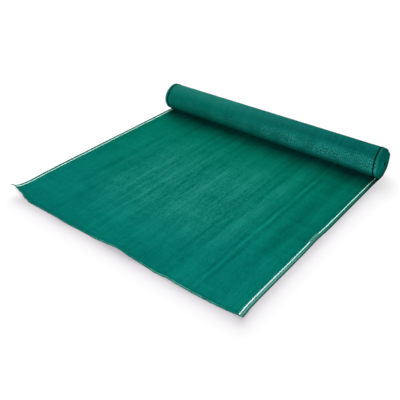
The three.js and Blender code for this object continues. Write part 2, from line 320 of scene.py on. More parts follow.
# The tints of the green, and its paler places, which are painted sheen
YELLOW, YELLOW_END = (0.15, 0.81), (0.81, 0.88, 1.0, 0.25)
ON_ROLL = (0.81, 0.88)
BLUE, BLUE_END = (-0.3, 0.35), (0.487, 0.480, 0.3, 1.0)
CLOUDS = (0.3, 0.7)
SHEEN_BY_SHADE = (0.25, 0.85)  # the painted sheen grows from a dark shade to a light one
UPPER_SHEEN_REACH = (1.03, 1.09, 1.11, 1.15)
UPPER_SHEEN_LEFTWARDS = (0.4, -0.4, 0.03, 0.18)
SHEEN_BASE, SHEEN_CLOUDS, SHEEN_OUTSIDE, SHEEN_FRONT = 0.09, 0.07, 0.15, 0.10

# Painted glints and painted shade of small hollows at the front of the roll
GLINTS, HOLLOW_SHADES = (0.54, 0.64), (0.46, 0.34)
GLINT_PATCHES = (0.42, 0.58, 0.35, 1.0)
GLINT_SHARE, HOLLOW_SHADE_DEPTH = 0.8, 0.6

# The cut end: a pale line, painted highlight where its rim catches the light, on its right part and
# on a wave's crest, and darker edges beside it: a strip at the very edge, and painted crease shade
# behind the line
CUT_HIGHLIGHT_REACH = (0.0012, 0.0022, 0.0045, 0.0066)
CUT_BREAKS = (0.36, 0.56, 0.2, 1.0)
CUT_RIGHT, CUT_RIGHT_END = (0.05, 0.2, 0.08, 0.85), (0.45, 0.42)
CREST_HIGHLIGHT_REACH, CREST_HIGHLIGHT_SHARE = (-0.09, -0.04, 0.02, 0.05), 0.6
CUT_FIRST = (0.002, 0.0008)
CUT_CREASE_SHADE, CUT_CREASE_SHADE_END = (0.0066, 0.008, 0.0, 0.5), (0.013, 0.010)
CUT_DARKNESS = 0.45

# Bands of the selvedge, from its inner side, 0, to its edge, 1: the share of pale yarn, and the
# brightness, where 0.5 is that of the open cloth
SELVEDGE_INNER = 0.47
SELVEDGE_WIDTH = 0.03
# The dark bands under and beside the white thread are its painted shadow
SELVEDGE_BANDS = (
    (0.0, 0.0, 0.50), (0.36, 0.0, 0.50), (0.41, 0.1, 0.60), (0.46, 0.0, 0.40), (0.49, 0.0, 0.25),
    (0.64, 0.0, 0.28), (0.69, 0.7, 0.45), (0.80, 1.0, 0.45), (0.86, 0.35, 0.36), (0.92, 0.1, 0.30),
    (1.0, 0.0, 0.26),
)
WOUND_LEVEL = 0.52  # the brightness outside the stitch line on the roll
HIDDEN_LEVEL = 0.56  # and that of the stitch line where its thread is out of sight
HIDDEN_PALE = 0.4  # and the share of pale yarn there
# painted shade of the stitch line's groove on the roll
SEAM_SHADE = 0.6

# The studio: for each soft light its heading, elevation, strength and angular size
LIGHTS = {"low": (-38, 30, 3.6, 46), "high": (-38, 62, 1.65, 60), "front": (152, 8, 1.7, 50)}
LIGHT_DISTANCE = 3
WORLD_STRENGTH = 0.04
FLOOR_HALF = 8.0
FLOOR_LEVEL = -0.0004
FLOOR_GREY = 0.28
FLOOR_ROUGHNESS = 0.9
FLOOR_GLOW = 0.735
FLOOR_SHADES = (  # soft shades in front of the cloth and to its right: depth, reach in X and in Y
    (0.15, (-0.50, -0.40, 0.505, 0.615), (-0.615, -0.485, 0.35, 0.50)),
    (0.17, (-0.48, -0.42, 0.50, 0.545), (-0.535, -0.48, 0.25, 0.45)),
    (0.07, (-0.46, -0.38, 0.498, 0.530), (-0.517, -0.485, 0.30, 0.45)),
)
SHADE_COLOUR = (0.12, 0.06, 0.14, 1)
BACKDROP_RADIUS = 7.9
BACKDROP_GLOW = 1.0
BACKDROP_RINGS = (65, 17)
BACKDROP_LOWEST = -0.03  # radians below the horizon

# The camera of the photograph, fitted to the outline of the cloth
CAMERA_PLACE = (1.05579, -1.36723, 1.06605)
CAMERA_ANGLES = (38.008, 33.648, 0.16)  # yaw, pitch downwards and roll
CAMERA_LENS = 50.107
CAMERA_SENSOR = 36.0


def ease(a, b, value):
    """Eases from 0 at a to 1 at b."""
    t = np.clip((value - a) / (b - a), 0, 1)
    return t * t * (3 - 2 * t)


def rounded(distance):
    """1 in the middle, 0 from one half-width away."""
    return np.maximum(1 - distance * distance, 0) ** 2


def bell(distance):
    return np.exp(-(distance**2))


def look_up(table, value):
    """Eases from row to row of a table of two columns."""
    keys, values = table[:, 0], table[:, 1]
    after = np.clip(np.searchsorted(keys, value), 1, len(keys) - 1)
    share = ease(keys[after - 1], keys[after], value)
    return values[after - 1] + (values[after] - values[after - 1]) * share


def ripple(x, y, seed, height, length):
    """Smooth unevenness of about this height, with waves of this length in x and y"""
    random = np.random.default_rng(seed)
    total = 0
    for _ in range(RIPPLE_WAVES):
        direction, phase = random.uniform(0, 2 * np.pi, 2)
        wave = 2 * np.pi * random.uniform(*RIPPLE_RANGE)
        turn = wave * (x / length[0] * np.cos(direction) + y / length[1] * np.sin(direction))
        total = total + np.sin(turn + phase)
    return height * total / math.sqrt(RIPPLE_WAVES) / RIPPLE_SPREAD


def lift_at(across, along):
    """How high the laid cloth's underside stands off the floor, as in the CAD part"""
    lift = 0
    for x, y, half_width, half_length, rise in HUMPS:
        lift = lift + rise * rounded((across - x) / half_width) * rounded((along - y) / half_length)
    curl = ease(CURL_FROM, CURL_TO, across) * ease(CURL_LENGTH, 0, along) ** 1.5
    return lift + CURL_RISE * curl


def puckers_at(across, along):
    """The short waves that the seam of each selvedge draws into it"""
    phase = ripple(across, along, *PUCKER_RIPPLE)
    edge = bell((np.abs(across) - PUCKER_PLACE) / PUCKER_WIDTH)
    return PUCKER_RISE * edge * np.sin(along / PUCKER_LENGTH * 2 * np.pi + phase)


def unevenness(across, along):
    """Small waves that the laid cloth has besides the humps"""
    waves = SETTLE + puckers_at(across, along)
    for layer in LAID_RIPPLES:
        waves = waves + ripple(across, along, *layer)
    for place, width, strength in STREAKS:
        waves = waves + STREAK_RISE * strength * rounded((across - place) / width)
    return np.maximum(waves, 0) * ease(FLOOR_END, SETTLED_FROM, along)


def pushed_out(across, laid_out, wound_out, wound):
    """Where a place across the cloth stands, when its selvedge is this far out"""
    share = np.maximum(np.abs(across) - HALF_WIDTH + SELVEDGE_EFFECT, 0) / SELVEDGE_EFFECT
    return across + np.sign(across) * share * np.where(wound, wound_out, laid_out)


def selvedge_out(tables, across, value):
    return np.where(across > 0, look_up(tables[1], value), look_up(tables[-1], value))


def spiral_point(angle):
    """The outer side of the winding at an angle, which grows by a full circle a turn"""
    turns = (angle - FLAT_ANGLE) / (2 * np.pi)
    share = turns / ALL_TURNS
    radius = ROLL_RADIUS - PITCH * turns
    y = LAID_LENGTH + EYE_BACK * share + radius * np.sin(angle)
    z = AXIS_Z - EYE_DOWN * share - radius * np.cos(angle)
    layer = np.floor(turns + 0.5)
    lowest = np.where(layer > 0, LAYER_STEP * layer + LAYER_GAP, 0)
    return y, np.maximum(z, lowest)


def spiral_length(angle):
    """The cloth's length from where it leaves the floor to an angle of the winding"""
    turned = angle - FLAT_ANGLE
    return turned * ROLL_RADIUS - PITCH * turned**2 / (4 * np.pi)


def thickness_at(across, along):
    """The cloth's thickness: thinner where it is wound, with a bead along the selvedge"""
    base = LAID_THICKNESS + (WOUND_THICKNESS - LAID_THICKNESS) * ease(WOUND_FROM, FLOOR_END, along)
    bead = BEAD_RISE * bell((np.abs(across) - BEAD_PLACE) / BEAD_WIDTH)
    return base + bead * ease(*BEAD_FADE, along)


def slack_at(across, length, angle):
    """How far the outermost turn stands out from an even winding"""
    slack = ripple(across, length, *WOUND_RIPPLE) * ease(FLOOR_END, FLOOR_END + SLACK_START, length)
    return np.minimum(slack, SLACK_LIMIT) * ease(*np.radians(SLACK_FADE), angle)


def outer_surfaces(across, row):
    """Points of both sides of the outer piece. Rows go from the cut end, 0, to LAID_ROWS where the
    cloth leaves the floor, and on round the outermost turn."""
    wound = row > LAID_ROWS
    cut = look_up(CUT_LINE, across) + ripple(across, 0 * across, *CUT_RIPPLE)
    along = cut + (FLOOR_END - cut) * np.minimum(row / LAID_ROWS, 1)
    angle = FLAT_ANGLE + (OVERLAP_ANGLE - FLAT_ANGLE) * np.maximum(row - LAID_ROWS, 0) / TURN_ROWS
    length = np.where(wound, FLOOR_END + spiral_length(angle), along)
    out = selvedge_out(LAID_OUT, across, along)
    out_wound = selvedge_out(WOUND_OUT, across, np.degrees(angle))
    x = pushed_out(across, out, out_wound, wound)
    turn_y, turn_z = spiral_point(angle)
    lift = lift_at(across, along) + unevenness(across, along)
    thick = thickness_at(across, length)
    groove = GROOVE_DEPTH * bell((np.abs(across) - GROOVE_PLACE) / GROOVE_WIDTH)
    slack = slack_at(across, length, angle)
    way_y = np.where(wound, np.sin(angle), 0)
    way_z = np.where(wound, -np.cos(angle), -1)
    y = np.where(wound, turn_y, along) + way_y * slack
    z = np.where(wound, turn_z, lift) + way_z * slack * wound
    under = np.stack([x, y - way_y * groove, z - way_z * groove], -1)
    upper = np.stack([x, y - way_y * thick, z - way_z * thick], -1)
    return under, upper, length


def edge_wander(turns):
    """How far the selvedge of an inner turn stands inside the roll's end"""
    wander = WANDER_MEAN
    for height, speed, phase in WANDER_WAVES:
        wander = wander + height * np.sin(speed * turns + phase)
    for turn, depth in WANDER_DENTS:
        wander = wander + depth * bell((turns - turn) / WANDER_DENT_WIDTH)
    return wander


def inner_surfaces():
    """Points of both sides of the inner turns"""
    last = FLAT_ANGLE + 2 * np.pi * ALL_TURNS
    rows = int((ALL_TURNS - 1) * INNER_ROWS_A_TURN)
    angle, across = np.meshgrid(
        np.linspace(OVERLAP_ANGLE + OVERLAP_GAP, last, rows), np.array(INNER_COLUMNS, float),
        indexing="ij",
    )
    turns = (angle - FLAT_ANGLE) / (2 * np.pi)
    wander = edge_wander(turns + np.where(across > 0, 0, LEFT_SHIFT))
    degrees = np.degrees(angle) % 360
    rim = selvedge_out(WOUND_OUT, across, degrees) * ease(*RIM_START, degrees)
    rim = rim * ease(RIM_EFFECT, 0, turns / ALL_TURNS)
    start = selvedge_out(WOUND_OUT, across, np.full(across.shape, 360.0))
    set_in = ease(*WANDER_START, turns)
    out = start * (1 - set_in) + (rim - wander) * set_in
    share = np.maximum(np.abs(across) - HALF_WIDTH + INNER_EFFECT, 0) / INNER_EFFECT
    x = across + np.sign(across) * share * out
    x = x + DOME * ease(DOME_START, 1, turns / ALL_TURNS)
    y, z = spiral_point(angle)
    length = FLOOR_END + spiral_length(angle)
    outer = np.stack([x, y, z], -1)
    way = np.stack([0 * x, np.sin(angle), -np.cos(angle)], -1)
    return outer, outer - way * WOUND_THICKNESS, length, across


def quads(a, b, c, d):
    return np.stack([a, b, c, d], -1).reshape(-1, 4)


def sheet_faces(rows, columns):
    """Faces of a thin closed sheet. Its under side's points come first, row by row."""
    low = np.arange(rows * columns).reshape(rows, columns)
    top = low + rows * columns
    return np.concatenate([
        quads(low[:-1, :-1], low[1:, :-1], low[1:, 1:], low[:-1, 1:]),
        quads(top[:-1, :-1], top[:-1, 1:], top[1:, 1:], top[1:, :-1]),
        quads(low[:-1, 0], top[:-1, 0], top[1:, 0], low[1:, 0]),
        quads(low[:-1, -1], low[1:, -1], top[1:, -1], top[:-1, -1]),
        quads(low[0, :-1], low[0, 1:], top[0, 1:], top[0, :-1]),
        quads(low[-1, :-1], top[-1, :-1], top[-1, 1:], low[-1, 1:]),
    ])


def add_object(name, data):
    made = bpy.data.objects.new(name, data)
    bpy.context.scene.collection.objects.link(made)
    return made


def add_piece(name, points, faces, places, material, sharp=40):
    """Makes a mesh object from points in millimetres. The material reads each point's place."""
    moved = (points.reshape(-1, 3) - (ORIGIN[0], ORIGIN[1], 0)) * MM
    mesh = bpy.data.meshes.new(name)
    mesh.from_pydata(moved.tolist(), [], faces if isinstance(faces, list) else faces.tolist())
    stored = mesh.attributes.new("place", "FLOAT_VECTOR", "POINT")
    stored.data.foreach_set("vector", (places.reshape(-1, 3) * MM).ravel())
    mesh.materials.append(material)
    mesh.shade_smooth()
    mesh.set_sharp_from_angle(angle=math.radians(sharp))
    made = add_object(name, mesh)
    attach(made, BODY)
    return made


def places_of(across, length, third):
    """The place of each point of a sheet, first for its under side and then for its upper side. The
    third value is the distance from the cut end, or for the inner turns how far back they are."""
    place = np.stack([across, length, third], -1)
    return np.stack([place, place])


def make_outer(material):
    """The laid cloth and the outermost turn"""
    field = np.linspace(-FIELD_EDGE, FIELD_EDGE, FIELD_STEPS + 1)
    steps = np.array(SELVEDGE_STEPS, float)
    columns = np.concatenate([-steps[::-1], field, steps])
    row, across = np.meshgrid(
        np.arange(LAID_ROWS + TURN_ROWS + 1, dtype=float), columns, indexing="ij"
    )
    under, upper, length = outer_surfaces(across, row)
    faces = sheet_faces(*across.shape)
    places = places_of(across, length, length - look_up(CUT_LINE, across))
    return add_piece("cloth_outer", np.stack([under, upper]), faces, places, material)


def make_inner(material):
    """The turns inside the outermost one"""
    outer, inner, length, across = inner_surfaces()
    faces = sheet_faces(*across.shape)
    places = places_of(across, length, outer[..., 1] - LAID_LENGTH + BACK_OFFSET)
    points = np.stack([outer, inner])
    return add_piece("cloth_inner_turns", points, faces, places, material)


def tube_faces(count, points, sides):
    """Faces of tubes with flat ends: count tubes of this many rings, one after another"""
    ring = np.arange(count * points * sides).reshape(count, points, sides)
    after = np.roll(ring, -1, axis=2)
    walls = quads(ring[:, :-1], ring[:, 1:], after[:, 1:], after[:, :-1])
    ends = np.concatenate([ring[:, 0], ring[:, -1, ::-1]])
    return walls.tolist() + ends.tolist()


def tubes(paths, radii, sides=6, flatness=1.0):
    """Points of tubes round paths that run mainly along Y and Z. paths is tubes by points by 3."""
    along = np.gradient(paths, axis=1)
    along /= np.linalg.norm(along, axis=2, keepdims=True)
    sideways = np.array([1.0, 0, 0]) - along * along[..., :1]
    sideways /= np.linalg.norm(sideways, axis=2, keepdims=True)
    upwards = np.cross(sideways, along) * flatness
    turn = np.arange(sides) / sides * 2 * np.pi
    round_it = (
        sideways[:, :, None] * np.cos(turn)[:, None] + upwards[:, :, None] * np.sin(turn)[:, None]
    )
    return paths[:, :, None] + round_it * radii[..., None, None]


def add_tubes(name, paths, radii, material, slot, **shape):
    """One piece of many short yarns. A point's place is where it is across and along, and a number
    that each yarn has for itself."""
    points = tubes(paths, radii, **shape)
    count, rings, sides = points.shape[:3]
    tag = np.arange(count)[:, None, None] * YARN_STEP
    places = np.stack([points[..., 0], points[..., 1], np.broadcast_to(tag, points.shape[:3])], -1)
    faces = tube_faces(count, rings, sides)
    return add_piece(name, points, faces, places, material, sharp=60)


def laid_top(across, along):
    """The upper side of the laid cloth"""
    x = pushed_out(across, selvedge_out(LAID_OUT, across, along), 0, False)
    z = lift_at(across, along) + unevenness(across, along) + thickness_at(across, along)
    return np.stack([x, along, z], -1)


def side_name(side):
    return "right" if side > 0 else "left"


def strands(count, reach, points):
    """Each point's number of the stitch, side of it, and place along it from 0 to 1"""
    steps = np.linspace(*reach, points)
    return np.meshgrid(np.arange(count), np.array([-1, 1]), steps, indexing="ij")


def make_chain(side, material):
    """The white chain stitch of one selvedge: leaf-shaped links of two strands"""
    middle = side * (HALF_WIDTH - THREAD_INSET)
    start = look_up(CUT_LINE, middle) + CHAIN_START
    count = int((CHAIN_END - start) / CHAIN_PITCH)
    link, strand, step = strands(count, CHAIN_REACH, CHAIN_POINTS)
    swell = np.sqrt(np.clip(np.sin(np.pi * np.clip(step, 0, 1)), 0, 1))
    along = start + (link + step) * (CHAIN_END - start) / count
    across = middle + strand * CHAIN_HALF_SPREAD * swell
    points = laid_top(across, along)
    sinks, sunk, rises, risen = CHAIN_HIDDEN
    hidden = ease(sinks, sunk, along) * ease(risen, rises, along) if side > 0 else 0
    knot = 1 - swell
    points[..., 2] += CHAIN_RADIUS * CHAIN_LIFT[0] + CHAIN_LIFT[1] * knot - HIDDEN_DEPTH * hidden
    thickness = CHAIN_THICKNESS[0] + CHAIN_THICKNESS[1] * knot
    radii = CHAIN_RADIUS * thickness * (1 - HIDDEN_THINNER * hidden)
    name = "chain_stitch_" + side_name(side)
    made = add_tubes(name, points.reshape(-1, CHAIN_POINTS, 3), radii.reshape(-1, CHAIN_POINTS),
                     material, WHITE_SLOT, flatness=CHAIN_FLATNESS)
    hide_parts("selvedge_thread_right" if side > 0 else "selvedge_thread_left")
    return made


def make_backstitch(side, material):
    """The dark stitches that show on the reverse of one selvedge, round the roll"""
    first, last = BACKSTITCH_ANGLES
    count = int(spiral_length(last) / BACKSTITCH_PITCH)
    stitch, strand, step = strands(count, BACKSTITCH_REACH, BACKSTITCH_POINTS)
    angle = first + (last - first) * (stitch + step + BACKSTITCH_STAGGER * strand) / count
    spread, change, speed = BACKSTITCH_SPREAD
    across = side * (HALF_WIDTH - THREAD_INSET - BACKSTITCH_INSET)
    across = across + strand * (spread + change * np.sin(speed * angle))
    bow = np.sin(np.pi * step)
    y, z = spiral_point(angle)
    rise = BACKSTITCH_RISE[0] + BACKSTITCH_RISE[1] * bow
    x = pushed_out(across, 0, selvedge_out(WOUND_OUT, across, np.degrees(angle)), True)
    points = np.stack([x, y + rise * np.sin(angle), z - rise * np.cos(angle)], -1)
    radii = BACKSTITCH_RADIUS[0] + BACKSTITCH_RADIUS[1] * bow
    paths = points.reshape(-1, BACKSTITCH_POINTS, 3)
    radii = radii.reshape(-1, BACKSTITCH_POINTS)
    return add_tubes("backstitch_" + side_name(side), paths, radii, material, GREEN_SLOT)


def make_stubs(material):
    """Cut ends of the ribs, which stick out along the cut end of the cloth"""
    random = np.random.default_rng(STUB_SEED)
    across = np.arange(-STUB_EDGE, STUB_EDGE + 1, STUB_PITCH)
    across = across + random.uniform(-STUB_JITTER, STUB_JITTER, len(across))
    steps = np.linspace(0, 1, STUB_POINTS)
    length = random.uniform(*STUB_LENGTH, len(across)) * random.choice(STUB_LONGER, len(across))
    lean = random.normal(0, STUB_LEAN, len(across))
    rise = random.uniform(*STUB_RISE, len(across))
    root = outer_surfaces(across, np.zeros(len(across)))
    middle = (root[0] + root[1]) / 2
    out = length[:, None] * steps - STUB_ROOT
    x = middle[:, :1] + lean[:, None] * out * (STUB_STIFFNESS + (1 - STUB_STIFFNESS) * steps)
    y = middle[:, 1:2] - out
    z = middle[:, 2:] + rise[:, None] * length[:, None] * steps**2
    points = np.stack([x, y, np.maximum(z, STUB_LOWEST)], -1)
    thick, thin = STUB_RADIUS
    radii = np.broadcast_to(thick + (thin - thick) * steps, points.shape[:2])
    return add_tubes("cut_ends", points, radii, material, GREEN_SLOT, sides=4)


def make_tail(material):
    """The loose yarn at the front left corner"""
    corner = outer_surfaces(np.array([TAIL_CORNER]), np.zeros(1))[1][0]
    inside, behind, below = TAIL_ROOT
    steps = np.linspace(0, 1, TAIL_POINTS)
    x = corner[0] + inside - (TAIL_OUT + inside) * steps
    y = corner[1] + behind - (TAIL_FORWARD + behind) * np.sin(TAIL_BEND[0] * steps)
    z = corner[2] - below + TAIL_RISE * np.sin(TAIL_BEND[1] * steps)
    points = np.stack([x, y, z], -1)[None]
    thick, thin = TAIL_RADIUS
    radii = (thick + (thin - thick) * steps)[None]
    return add_tubes("corner_yarn", points, radii, material, GREEN_SLOT)


class Graph:
    """Adds shader nodes to a new material and links them."""

    def __init__(self, name):
        self.material = bpy.data.materials.new(name)
        self.material.use_nodes = True
        self.tree = self.material.node_tree
        self.tree.nodes.clear()

    def node(self, kind, inputs=None, **settings):
        made = self.tree.nodes.new(kind)
        for name, value in settings.items():
            setattr(made, name, value)
        for key, value in (inputs or {}).items():
            self.put(made.inputs[key], value)
        return made

    def put(self, socket, value):
        if isinstance(value, bpy.types.NodeSocket):
            self.tree.links.new(value, socket)
        else:
            socket.default_value = value

    def place(self):
        """The place that add_piece stored at each point"""
        stored = self.node("ShaderNodeAttribute", attribute_name="place")
        return self.node("ShaderNodeSeparateXYZ", {0: stored.outputs["Vector"]}).outputs

    def math(self, operation, *values):
        made = self.node("ShaderNodeMath", operation=operation)
        for socket, value in zip(made.inputs, values):
            self.put(socket, value)
        return made.outputs[0]

    def add(self, first, *others):
        for other in others:
            first = self.math("ADD", first, other)
        return first

    def times(self, first, *others):
        for other in others:
            first = self.math("MULTIPLY", first, other)
        return first

    def line(self, value, factor, start):
        """start plus factor times the value"""
        return self.math("MULTIPLY_ADD", value, factor, start)

    def clamped(self, value):
        kept = self.math("ADD", value, 0.0)
        kept.node.use_clamp = True
        return kept

    def wave(self, value):
        """0 to 1 and back, once for each whole number"""
        return self.line(self.math("COSINE", self.times(value, 2 * math.pi)), 0.5, 0.5)

    def change(self, value, low, high, to_low=0.0, to_high=1.0):
        """Eases from one result where the value is low to another where it is high"""
        made = self.node(
            "ShaderNodeMapRange", {0: value, 1: low, 2: high, 3: to_low, 4: to_high},
            interpolation_type="SMOOTHSTEP",
        )
        return made.outputs["Result"]

    def within(self, value, start, full, ending, end):
        """Eases from 0 to 1 between the first two places, and back to 0 between the last two"""
        return self.times(self.change(value, start, full), self.change(value, end, ending))

    def noise(self, x, y, scale_x, scale_y, detail, offset=0.0):
        point = self.node("ShaderNodeCombineXYZ")
        self.put(point.inputs[0], self.times(x, scale_x))
        self.put(point.inputs[1], self.line(y, scale_y, offset))
        inputs = {
            "Vector": point.outputs[0], "Scale": 1.0, "Detail": detail, "Roughness": NOISE_ROUGHNESS,
        }
        return self.node("ShaderNodeTexNoise", inputs, noise_dimensions="2D").outputs[0]

    def blend(self, share, a, b):
        """A number between two others"""
        return self.node("ShaderNodeMix", {0: share, 2: a, 3: b}).outputs[0]

    def mix(self, share, a, b, kind="MIX"):
        """A colour between two others"""
        made = self.node("ShaderNodeMix", data_type="RGBA", blend_type=kind)
        for socket, value in ((made.inputs[0], share), (made.inputs[6], a), (made.inputs[7], b)):
            self.put(socket, value)
        return made.outputs[2]

    def tinted(self, share, colour, factor):
        """A colour multiplied by another one, as far as the share goes"""
        return self.mix(share, colour, factor, "MULTIPLY")

    def scaled(self, colour, share):
        """A colour times a number"""
        made = self.node("ShaderNodeVectorMath", operation="SCALE")
        self.put(made.inputs[0], colour)
        self.put(made.inputs["Scale"], share)
        return made.outputs[0]

    def ramp(self, value, stops):
        """A ramp of colours over 0 to 1"""
        made = self.node("ShaderNodeValToRGB", {"Fac": value})
        elements = made.color_ramp.elements
        while len(elements) > 1:
            elements.remove(elements[-1])
        for i, (place, colour) in enumerate(stops):
            element = elements[0] if i == 0 else elements.new(place)
            element.position = place
            element.color = colour
        return made.outputs["Color"]

    def finish(self, colour, roughness, height=None, depth=0.0, settings=None):
        shader = self.node("ShaderNodeBsdfPrincipled", {
            "Base Color": colour, "Roughness": roughness, "Specular IOR Level": SPECULAR,
            **(settings or {}),
        })
        if height is not None:
            inputs = {"Height": height, "Distance": depth, "Strength": 1.0}
            bump = self.node("ShaderNodeBump", inputs)
            self.put(shader.inputs["Normal"], bump.outputs[0])
        output = self.node("ShaderNodeOutputMaterial")
        self.put(output.inputs["Surface"], shader.outputs[0])
        return self.material


class ClothGraph(Graph):
    """The material of the cloth. x is the place across it, s the length from the front, and third
    the third value of places_of."""

    def __init__(self, name):
        super().__init__(name)
        self.x, self.s, self.third = self.place()

    def uneven(self, name, along=None):
        """One of the cloth's noises, 0 to 1"""
        return self.noise(self.x, self.s if along is None else along, *NOISES[name])

    def centred(self, name):
        return self.add(self.uneven(name), -0.5)

    def knit(self):
        """The knit's relief: ribs along the cloth with looped stitches, and tapes between them"""
        wobble = self.times(self.centred("ribs"), RIB_WOBBLE)
        rib_place = self.math("DIVIDE", self.add(self.x, wobble), WALE)
        rib = self.wave(rib_place)
        lean = self.math("PINGPONG", self.add(rib_place, 0.5), 0.5)
        course_place = self.math("DIVIDE", self.s, COURSE)
        loop = self.wave(self.add(course_place, self.times(lean, LOOP_LEAN)))
        tape = self.wave(self.add(self.times(course_place, 0.5), rib_place))
        stitches = self.times(rib, self.line(loop, LOOP_SHARE, 1 - LOOP_SHARE))
        tapes = self.times(self.math("SUBTRACT", 1.0, rib), self.times(tape, TAPE_SHARE))
        return self.add(stitches, tapes)

    def streaks(self):
        """How much lighter or darker the streaks that run along the cloth are"""
        place = self.add(self.x, self.times(self.centred("wander"), STREAK_WANDER))
        total = 0.0
        for middle, width, strength in STREAKS:
            away = self.math("ABSOLUTE", self.add(place, -middle * MM))
            total = self.add(total, self.change(away, width * MM, 0.0, 0.0, strength))
        broken = self.change(self.uneven("breaks"), *STREAK_BREAKS)
        laid = self.change(self.s, *STREAKS_LAID)
        return self.times(total, broken, laid, self.change(self.s, *STREAKS_WOUND))

    def middle(self):
        """Where the laid cloth is rougher, and paler and lighter with painted sheen: round its
        middle
        """
        return self.times(self.within(self.x, *MIDDLE_ACROSS), self.within(self.s, *MIDDLE_ALONG))

    def shade(self, height, middle):
        """How light the cloth is from place to place, 0 to 1, with painted sheen in the middle part
        and painted shade in the knit's hollows
        """
        fine = self.times(self.centred("fine"), self.line(middle, FINE_MORE, 1.0))
        ticks = self.times(middle, self.change(self.uneven("ticks"), *TICKS))
        right = self.times(self.change(self.x, *RIGHT_ACROSS), self.change(self.s, *RIGHT_ALONG))
        cut = self.times(self.change(self.s, *CUT_ALONG), self.change(self.x, *CUT_ACROSS))
        parts = [(self.centred(name), share) for name, share in NOISE_SHARES]
        parts += [
            (self.streaks(), STREAK_SHARE), (fine, FINE_SHARE), (ticks, TICK_SHARE),
            # the middle part is painted lighter, as sheen
            (middle, MIDDLE_SHEEN_SHARE), (right, RIGHT_SHARE), (cut, CUT_SHARE),
            # the knit's relief: painted shade in its hollows
            (self.add(height, -KNIT_MEAN), KNIT_SHADE_SHARE),
        ]
        total = SHADE_MEAN
        for part, share in parts:
            total = self.add(total, self.times(part, share))
        return self.clamped(total)

    def selvedge(self):
        """The share of pale yarn in the cloth's last 30 mm, and their level of brightness, with the
        painted shadow of the white thread and the painted shade of the stitch line's groove on the
        roll
        """
        outwards = self.add(self.math("ABSOLUTE", self.x), -SELVEDGE_INNER)
        outwards = self.times(outwards, 1 / SELVEDGE_WIDTH)
        stops = [(place, (pale, level, 0, 1)) for place, pale, level in SELVEDGE_BANDS]
        bands = self.node("ShaderNodeSeparateColor", {0: self.ramp(outwards, stops)})
        speckled = self.change(self.uneven("speckle"), *SELVEDGE_SPECKS)
        along = self.change(self.s, *SELVEDGE_ALONG)
        sides = self.change(self.x, *SELVEDGE_SIDES)
        pale = self.times(bands.outputs[0], along, sides, speckled)
        corner = self.times(self.change(self.x, *CORNER_ACROSS), self.change(self.s, *CORNER_ALONG))
        wound = self.change(self.s, *WOUND)
        outside = self.times(self.change(outwards, *SEAM_OUTSIDE), wound)
        level = self.blend(outside, bands.outputs[1], WOUND_LEVEL)
        # painted shade of the stitch line's groove on the roll
        seam_shade = self.times(self.within(outwards, *SEAM_SHADE_REACH), wound)
        level = self.times(level, self.line(seam_shade, -SEAM_SHADE, 1.0))
        hidden = self.within(self.s, *(place * MM for place in CHAIN_HIDDEN))
        hidden = self.times(
            hidden, self.change(self.x, *RIGHT_HALF), self.within(outwards, *THREAD_REACH)
        )
        level = self.blend(hidden, level, HIDDEN_LEVEL)
        pale = self.math("MAXIMUM", pale, self.times(hidden, HIDDEN_PALE))
        return self.math("MAXIMUM", pale, self.times(corner, CORNER_SHARE)), level

    def painted_roll_light(self):
        """Painted light on the roll's outer side: how much lighter or darker it is painted, and the
        share of its front highlight
        """
        # front, upper and low are painted highlights, low is painted shade on the left, and top is
        # painted shade
        front = self.within(self.s, *FRONT_HIGHLIGHT_REACH)
        rightwards = self.change(self.x, *FRONT_HIGHLIGHT_RIGHTWARDS)
        front = self.times(front, rightwards, self.change(self.uneven("front"), *FRONT_HIGHLIGHT_PATCHES))
        leftwards = self.change(self.x, *UPPER_HIGHLIGHT_LEFTWARDS)
        upper = self.times(self.within(self.s, *UPPER_HIGHLIGHT_REACH), leftwards)
        low = self.times(self.within(self.s, *LOW_LIGHT_SHADE_REACH), self.change(self.x, *LOW_LIGHT_SHADE_ACROSS))
        top = self.times(self.within(self.s, *TOP_SHADE_REACH), self.change(self.x, *TOP_SHADE_ACROSS))
        return self.add(1.0, front, upper, low, top), front

    def turns_level(self):
        """The brightness of the inner turns, which show at the roll's ends, with painted shade on
        their back part and inside the eye
        """
        tone = self.change(self.uneven("turns"), *TURN_TONES)
        tone = self.add(tone, self.change(self.uneven("turn flecks"), *TURN_FLECKS))
        rear_shade = self.change(self.third, *TURN_REAR_SHADE)
        return self.times(tone, rear_shade, self.change(self.s, *EYE_SHADE))

    def green(self, shade):
        """The cloth's own green, yellower towards the roll and bluer on the roll's right half"""
        green = self.mix(shade, DARK_GREEN, LIGHT_GREEN)
        near_roll = self.times(self.change(self.s, *YELLOW), self.change(self.s, *YELLOW_END))
        green = self.tinted(near_roll, green, YELLOWER)
        on_roll = self.change(self.s, *ON_ROLL)
        right = self.times(self.change(self.x, *BLUE), self.change(self.x, *BLUE_END))
        return self.tinted(self.times(on_roll, right), green, BLUER)

    def painted_sheen(self, shade, middle, front):
        """The share of pale green, which is painted sheen: in the middle part, and on the roll's
        upper side and front
        """
        clouds = self.change(self.uneven("clouds"), *CLOUDS)
        pale = self.times(self.add(middle, SHEEN_OUTSIDE), self.change(shade, *SHEEN_BY_SHADE))
        pale = self.times(pale, self.line(clouds, SHEEN_CLOUDS, SHEEN_BASE))
        upper = self.times(self.within(self.s, *UPPER_SHEEN_REACH), self.change(self.x, *UPPER_SHEEN_LEFTWARDS))
        return self.add(pale, upper, self.times(front, SHEEN_FRONT))

